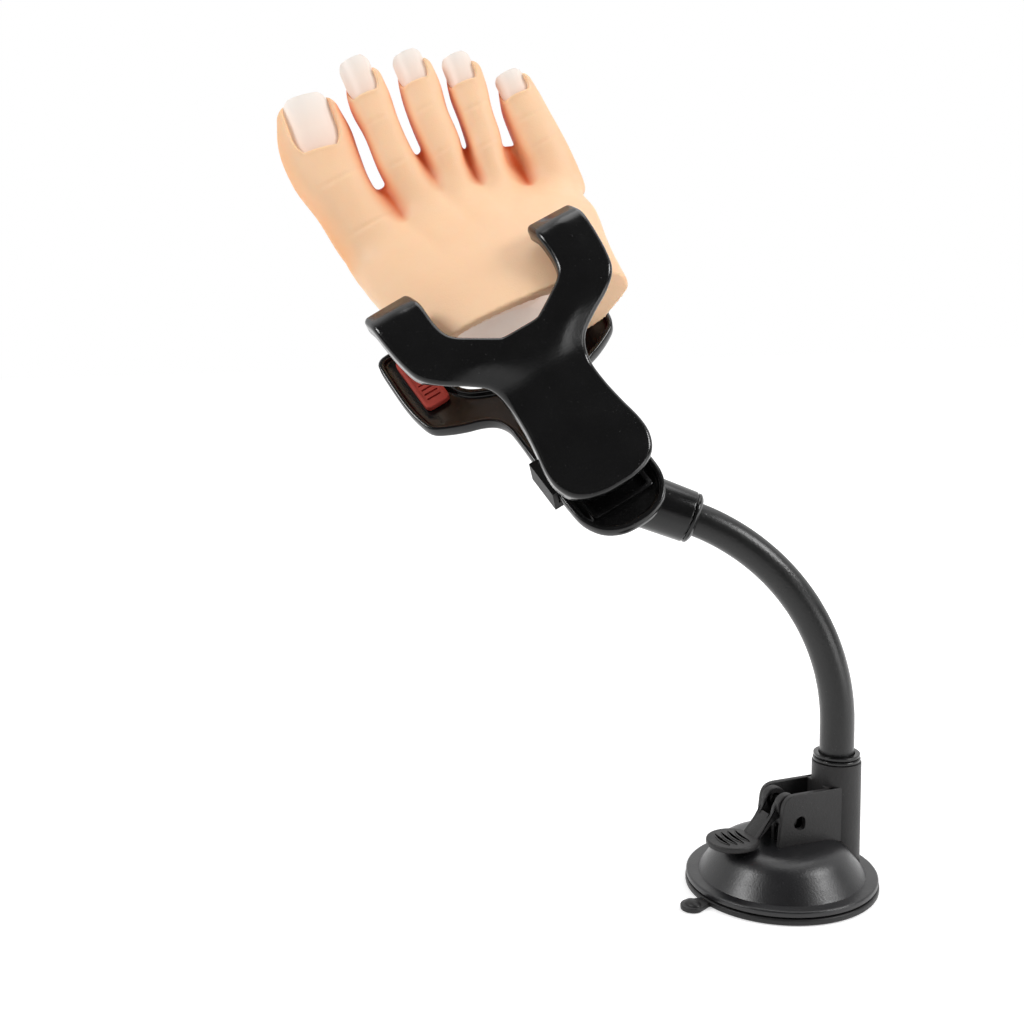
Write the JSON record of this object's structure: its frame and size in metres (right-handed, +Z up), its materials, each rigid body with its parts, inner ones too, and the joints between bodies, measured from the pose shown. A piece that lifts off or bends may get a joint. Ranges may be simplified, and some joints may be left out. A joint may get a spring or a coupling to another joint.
{
  "type": "nail practice foot",
  "caption": "Practice forefoot with pull-out toenails, gripped by a sprung two-jaw clamp on a bendable arm that stands on a lever-locked suction base.",
  "frame": {"origin": "centre of the suction pad's flat underside, on the surface that it grips", "axes": "+Z up, the lever points to -X, the arm's socket stands towards +X and the arm curves away towards -X and +Y"},
  "size_m": [0.178, 0.1651, 0.3014],
  "materials": {
    "charcoal_plastic": "matt",
    "black_plastic": "satin",
    "soft_black": "satin",
    "steel": "satin",
    "red_rubber": "matt",
    "skin_silicone": "satin",
    "core_plastic": "matt",
    "nail_plastic": "satin"
  },
  "bodies": {
    "base": {"suction_pad": "soft_black", "base_housing": "charcoal_plastic", "lever_pin": "steel", "arm_collar": "black_plastic", "arm_root": "soft_black"},
    "lever": {"lock_lever": "charcoal_plastic"},
    "stem": {"pull_stem": "steel", "link_pin": "steel"},
    "lower_arm": {"arm_lower": "soft_black"},
    "middle_arm": {"arm_middle": "soft_black"},
    "upper_arm": {"arm_upper": "soft_black", "sleeve_ring": "black_plastic", "arm_sleeve": "black_plastic"},
    "knuckle": {"swivel_knuckle": "black_plastic"},
    "clamp": {"slide_bracket": "black_plastic", "swivel_pin": "steel", "rear_jaw": "black_plastic", "hinge_pin": "steel", "torsion_spring": "steel", "rear_pad_left": "red_rubber", "rear_pad_right": "red_rubber", "foot_skin": "skin_silicone", "foot_core": "core_plastic"},
    "front": {"front_jaw": "black_plastic", "front_pad_left": "red_rubber", "front_pad_right": "red_rubber"},
    "big_toe_nail": {"big_toe_nail": "nail_plastic"},
    "second_toe_nail": {"second_toe_nail": "nail_plastic"},
    "third_toe_nail": {"third_toe_nail": "nail_plastic"},
    "fourth_toe_nail": {"fourth_toe_nail": "nail_plastic"},
    "fifth_toe_nail": {"fifth_toe_nail": "nail_plastic"}
  },
  "joints": [
    {"name": "lever_release", "type": "hinge", "parent": "base", "child": "lever", "pos_m": [-0.0008, 0, 0.0302], "axis": [0, 1, 0], "range_deg": [0, 95]},
    {"name": "stem_drop", "type": "slide", "parent": "base", "child": "stem", "axis": [0, 0, 1], "range_m": [-0.0026, 0]},
    {"name": "arm_base_bend", "type": "hinge", "parent": "base", "child": "lower_arm", "pos_m": [0.02238, 0.00001, 0.0574], "axis": [-0.4067, -0.9135, 0], "range_deg": [-20, 20]},
    {"name": "arm_middle_swing", "type": "hinge", "parent": "lower_arm", "child": "middle_arm", "pos_m": [0.01161, 0.00481, 0.09706], "axis": [-0.7769, 0.3459, -0.5261], "range_deg": [-20, 20]},
    {"name": "arm_top_bend", "type": "hinge", "parent": "middle_arm", "child": "upper_arm", "pos_m": [-0.01447, 0.01642, 0.12441], "axis": [-0.4067, -0.9135, 0], "range_deg": [-20, 20]},
    {"name": "clamp_spin", "type": "hinge", "parent": "upper_arm", "child": "knuckle", "pos_m": [-0.05546, 0.03467, 0.14251], "axis": [-0.8529, 0.3797, 0.3584], "range_deg": [-60, 60]},
    {"name": "clamp_swivel", "type": "hinge", "parent": "knuckle", "child": "clamp", "pos_m": [-0.05546, 0.03467, 0.14251], "axis": [-0.3873, -0.6864, 0.6154], "range_deg": [-60, 60]},
    {"name": "jaw_open", "type": "hinge", "parent": "clamp", "child": "front", "pos_m": [-0.06584, 0.02229, 0.16003], "axis": [0.8814, -0.0801, 0.4654], "range_deg": [0, 8], "stiffness_Nm_per_rad": 0.5, "springref_deg": -28.65},
    {"name": "big_nail_slide", "type": "slide", "parent": "clamp", "child": "big_toe_nail", "axis": [-0.1921, 0.3869, 0.9019], "range_m": [0, 0.012]},
    {"name": "second_nail_slide", "type": "slide", "parent": "clamp", "child": "second_toe_nail", "axis": [-0.262, 0.3975, 0.8794], "range_m": [0, 0.012]},
    {"name": "third_nail_slide", "type": "slide", "parent": "clamp", "child": "third_toe_nail", "axis": [-0.2109, 0.3899, 0.8964], "range_m": [0, 0.012]},
    {"name": "fourth_nail_slide", "type": "slide", "parent": "clamp", "child": "fourth_toe_nail", "axis": [-0.206, 0.3891, 0.8978], "range_m": [0, 0.012]},
    {"name": "fifth_nail_slide", "type": "slide", "parent": "clamp", "child": "fifth_toe_nail", "axis": [-0.2476, 0.3954, 0.8845], "range_m": [0, 0.012]}
  ],
  "couplings": [
    {"joint": "stem_drop", "follows": "lever_release", "m_per_rad": -0.0015078}
  ]
}
